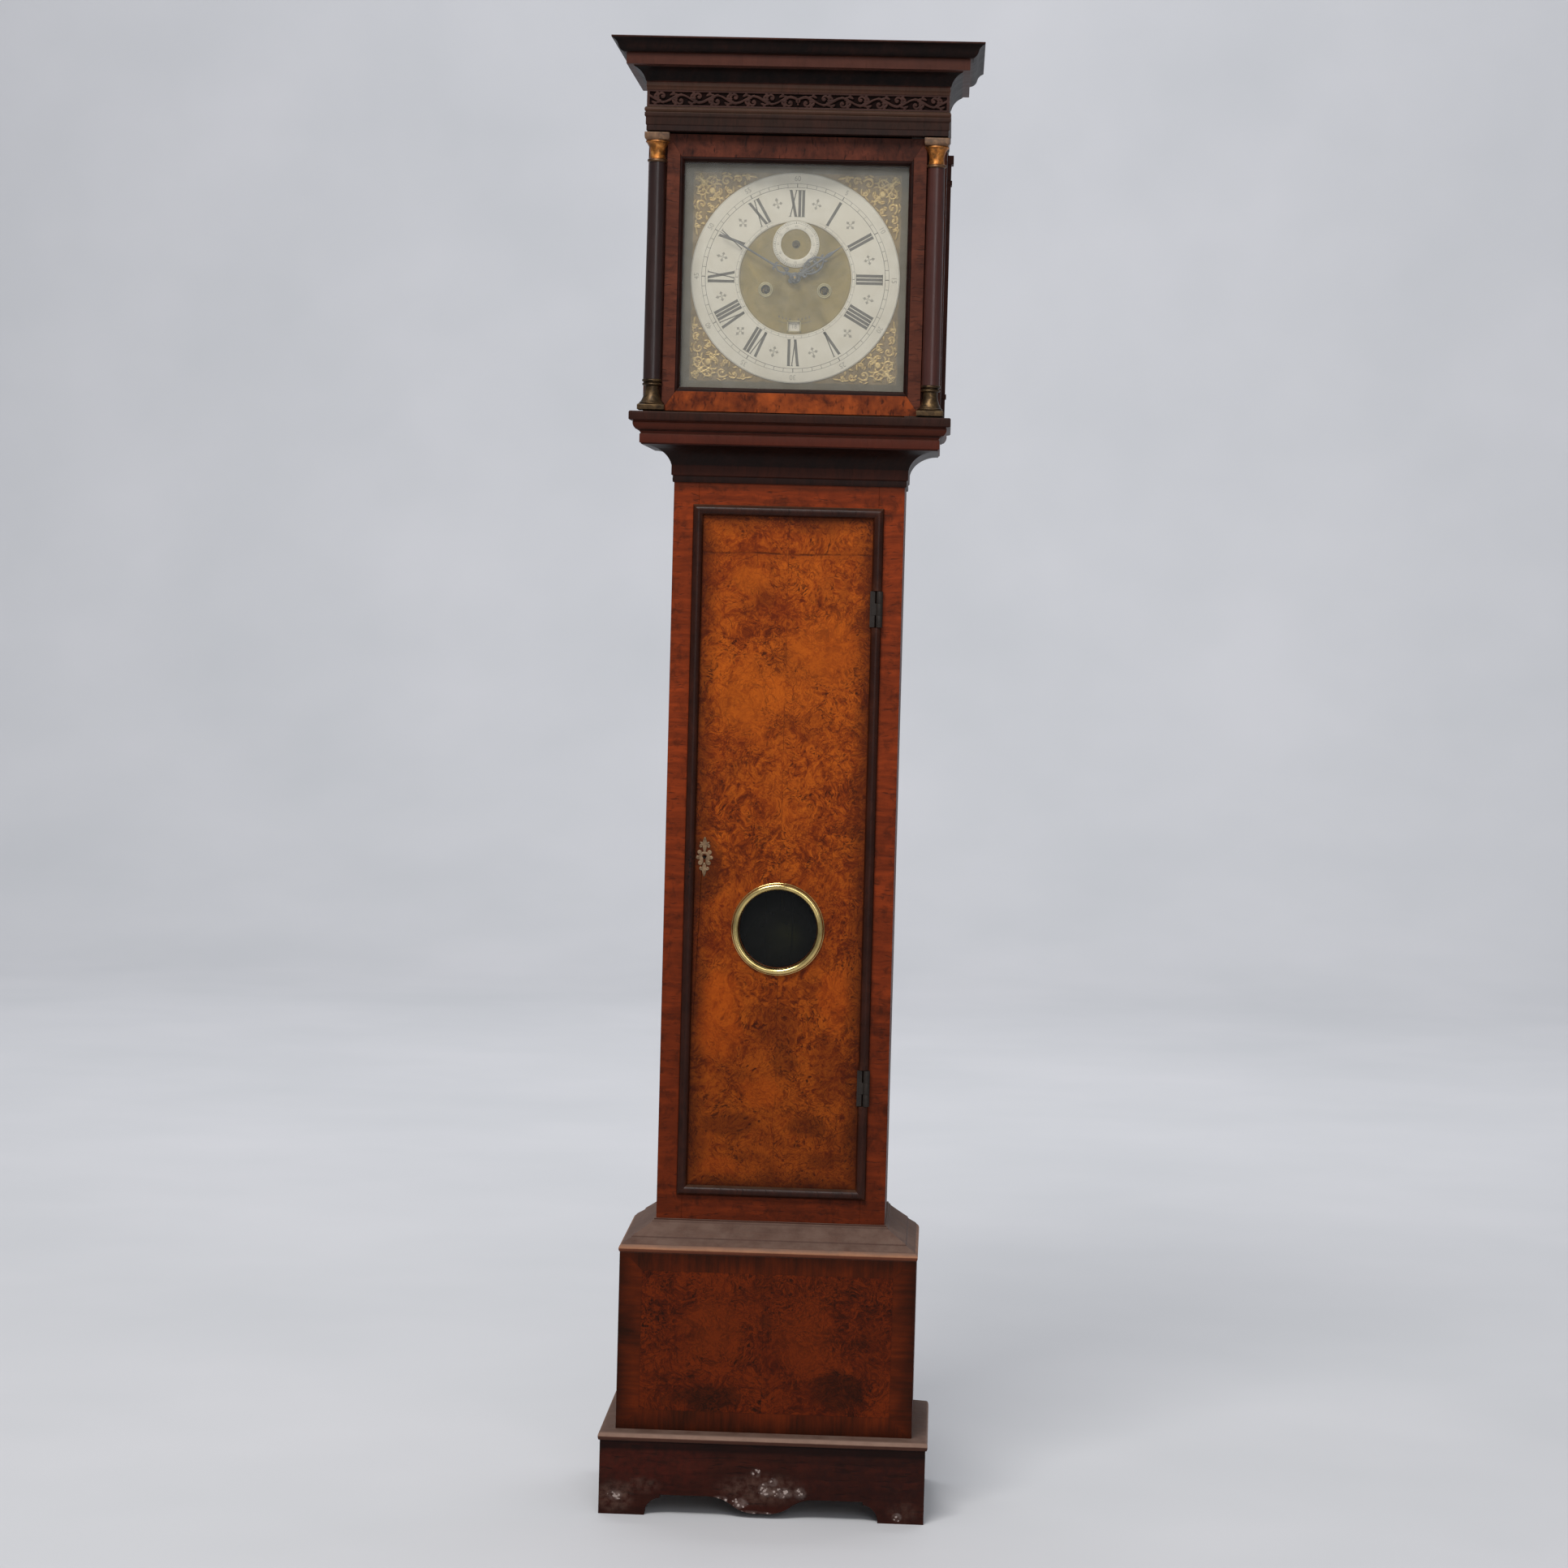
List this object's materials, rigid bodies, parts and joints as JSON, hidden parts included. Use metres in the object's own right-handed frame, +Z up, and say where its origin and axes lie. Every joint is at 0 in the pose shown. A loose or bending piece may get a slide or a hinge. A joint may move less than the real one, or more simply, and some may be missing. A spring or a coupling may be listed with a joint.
{
  "type": "longcase clock",
  "caption": "Weight-driven longcase clock: flat-top hood that slides forward, glazed dial door with columns, trunk door with round window, square brass dial and pendulum.",
  "frame": {"origin": "floor level, centre of the bounding box in plan", "axes": "+Z up; the dial faces -Y; +X to the right seen from the front"},
  "size_m": [0.488, 0.29, 1.9575],
  "materials": {
    "case_walnut": "polished figured veneer",
    "case_moulding": "polished cross-grain",
    "carcass_oak": "plain",
    "door_burr": "polished burr veneer",
    "hood_walnut": "polished",
    "hood_door_walnut": "polished",
    "column_wood": "polished",
    "fret_wood": "pierced",
    "clear_glass": "clear",
    "gilt_brass": "gilt",
    "dial_brass": "matted",
    "silvered": "silvered",
    "movement_brass": "brushed",
    "bell_metal": "turned",
    "dark_brass": "tarnished",
    "blued_steel": "blued",
    "steel": "bright",
    "iron": "dark",
    "gut": "twisted"
  },
  "bodies": {
    "case": {"backboard": "carcass_oak", "trunk_sides": "carcass_oak", "trunk_front_frame": "case_walnut", "throat_moulding": "case_moulding", "base_front_panel": "case_walnut", "base_sides": "case_walnut", "base_top_moulding": "case_moulding", "plinth_boards": "case_walnut", "plinth_moulding": "case_moulding", "base_floor_board": "carcass_oak", "seatboard": "carcass_oak", "case_hinge_leaves": "dark_brass", "front_plate": "movement_brass", "back_plate": "movement_brass", "movement_pillars": "movement_brass", "dial_plate": "dial_brass", "chapter_ring": "silvered", "seconds_ring": "silvered", "spandrels": "gilt_brass", "back_cock": "movement_brass", "bell": "bell_metal", "going_line": "gut", "strike_line": "gut"},
    "hood": {"hood_sides": "hood_walnut", "hood_top_board": "carcass_oak", "cornice": "case_moulding", "hood_entablature": "case_moulding", "frieze_fret": "fret_wood", "hood_base_moulding": "case_moulding", "dial_mask": "hood_walnut"},
    "hood_door": {"hood_door_frame": "hood_door_walnut", "hood_door_glass": "clear_glass", "hood_door_hinges": "dark_brass", "hood_columns": "column_wood", "column_mounts": "gilt_brass"},
    "trunk_door": {"trunk_door_panel": "door_burr", "trunk_door_moulding": "case_moulding", "lenticle_bezel": "gilt_brass", "lenticle_glass": "clear_glass", "escutcheon": "gilt_brass", "trunk_lock_case": "iron", "door_hinge_leaves": "dark_brass"},
    "lock_bolt_body": {"lock_bolt": "steel"},
    "minute_hand_body": {"minute_hand": "blued_steel"},
    "hour_hand_body": {"hour_hand": "blued_steel"},
    "minute_wheel_body": {"minute_wheel": "movement_brass"},
    "date_ring_body": {"date_ring": "silvered"},
    "escape_wheel_body": {"escape_wheel": "movement_brass"},
    "third_wheel_body": {"third_wheel": "movement_brass"},
    "centre_wheel_body": {"centre_wheel": "movement_brass"},
    "going_great_wheel_body": {"going_great_wheel": "movement_brass"},
    "going_barrel_body": {"going_barrel": "movement_brass"},
    "strike_barrel_body": {"strike_barrel": "movement_brass"},
    "strike_great_wheel_body": {"strike_great_wheel": "movement_brass"},
    "pin_wheel_body": {"pin_wheel": "movement_brass"},
    "hammer_body": {"hammer": "steel"},
    "anchor_body": {"anchor_and_crutch": "steel"},
    "pendulum_body": {"pendulum": "movement_brass"},
    "going_weight_body": {"going_weight": "gilt_brass"},
    "strike_weight_body": {"strike_weight": "gilt_brass"}
  },
  "joints": [
    {"name": "hood_slide", "type": "slide", "parent": "case", "child": "hood", "axis": [0, -1, 0], "range_m": [0, 0.25]},
    {"name": "hood_door_hinge", "type": "hinge", "parent": "hood", "child": "hood_door", "pos_m": [0.196, -0.081, 1.655], "axis": [0, 0, 1], "range_deg": [0, 110]},
    {"name": "trunk_door_hinge", "type": "hinge", "parent": "case", "child": "trunk_door", "pos_m": [0.1245, -0.0612, 0.884], "axis": [0, 0, 1], "range_deg": [0, 160]},
    {"name": "lock_bolt_slide", "type": "slide", "parent": "trunk_door", "child": "lock_bolt_body", "axis": [-1, 0, 0], "range_m": [0, 0.006]},
    {"name": "minute_hand_turn", "type": "hinge", "parent": "case", "child": "minute_hand_body", "pos_m": [0, 0, 1.655], "axis": [0, 1, 0], "continuous": true},
    {"name": "hour_hand_turn", "type": "hinge", "parent": "case", "child": "hour_hand_body", "pos_m": [0, 0, 1.655], "axis": [0, 1, 0], "continuous": true},
    {"name": "minute_wheel_turn", "type": "hinge", "parent": "case", "child": "minute_wheel_body", "pos_m": [0.01697, 0, 1.63803], "axis": [0, 1, 0], "continuous": true},
    {"name": "date_ring_turn", "type": "hinge", "parent": "case", "child": "date_ring_body", "pos_m": [0, 0, 1.655], "axis": [0, 1, 0], "continuous": true},
    {"name": "escape_wheel_turn", "type": "hinge", "parent": "case", "child": "escape_wheel_body", "pos_m": [0, 0, 1.7], "axis": [0, 1, 0], "continuous": true},
    {"name": "third_wheel_turn", "type": "hinge", "parent": "case", "child": "third_wheel_body", "pos_m": [0.0098, 0, 1.67854], "axis": [0, 1, 0], "continuous": true},
    {"name": "centre_wheel_turn", "type": "hinge", "parent": "case", "child": "centre_wheel_body", "pos_m": [0, 0, 1.655], "axis": [0, 1, 0], "continuous": true},
    {"name": "going_great_wheel_turn", "type": "hinge", "parent": "case", "child": "going_great_wheel_body", "pos_m": [0.0392, 0, 1.6392], "axis": [0, 1, 0], "continuous": true},
    {"name": "going_barrel_turn", "type": "hinge", "parent": "case", "child": "going_barrel_body", "pos_m": [0.0392, 0, 1.6392], "axis": [0, 1, 0], "range_deg": [-2, 5280]},
    {"name": "strike_barrel_turn", "type": "hinge", "parent": "case", "child": "strike_barrel_body", "pos_m": [-0.0392, 0, 1.6392], "axis": [0, 1, 0], "range_deg": [-2, 5280]},
    {"name": "strike_great_wheel_turn", "type": "hinge", "parent": "case", "child": "strike_great_wheel_body", "pos_m": [-0.0392, 0, 1.6392], "axis": [0, 1, 0], "continuous": true},
    {"name": "pin_wheel_turn", "type": "hinge", "parent": "case", "child": "pin_wheel_body", "pos_m": [-0.03, 0, 1.68045], "axis": [0, 1, 0], "continuous": true},
    {"name": "hammer_swing", "type": "hinge", "parent": "case", "child": "hammer_body", "pos_m": [-0.056, 0.022, 1.712], "axis": [0, 1, 0], "range_deg": [-12, 0], "stiffness_Nm_per_rad": 0.02, "springref_deg": 17.19},
    {"name": "anchor_swing", "type": "hinge", "parent": "case", "child": "anchor_body", "pos_m": [0, 0, 1.737], "axis": [0, 1, 0], "range_deg": [-3, 3]},
    {"name": "pendulum_swing", "type": "hinge", "parent": "case", "child": "pendulum_body", "pos_m": [0, 0.072, 1.737], "axis": [0, 1, 0], "range_deg": [-3, 3]},
    {"name": "going_weight_slide", "type": "slide", "parent": "case", "child": "going_weight_body", "axis": [0, 0, 1], "range_m": [0, 1.05], "deforming": ["going_line"]},
    {"name": "strike_weight_slide", "type": "slide", "parent": "case", "child": "strike_weight_body", "axis": [0, 0, 1], "range_m": [0, 1.05], "deforming": ["strike_line"]}
  ],
  "couplings": [
    {"joint": "anchor_swing", "follows": "pendulum_swing", "ratio": 1},
    {"joint": "third_wheel_turn", "follows": "escape_wheel_turn", "ratio": -0.125},
    {"joint": "centre_wheel_turn", "follows": "escape_wheel_turn", "ratio": 0.016667},
    {"joint": "going_great_wheel_turn", "follows": "escape_wheel_turn", "ratio": -0.0013889},
    {"joint": "strike_great_wheel_turn", "follows": "pin_wheel_turn", "ratio": -0.083333},
    {"joint": "minute_wheel_turn", "follows": "minute_hand_turn", "ratio": -0.66667},
    {"joint": "hour_hand_turn", "follows": "minute_hand_turn", "ratio": 0.083333},
    {"joint": "going_barrel_turn", "follows": "going_weight_slide", "rad_per_m": 87.719},
    {"joint": "strike_barrel_turn", "follows": "strike_weight_slide", "rad_per_m": 87.719}
  ]
}
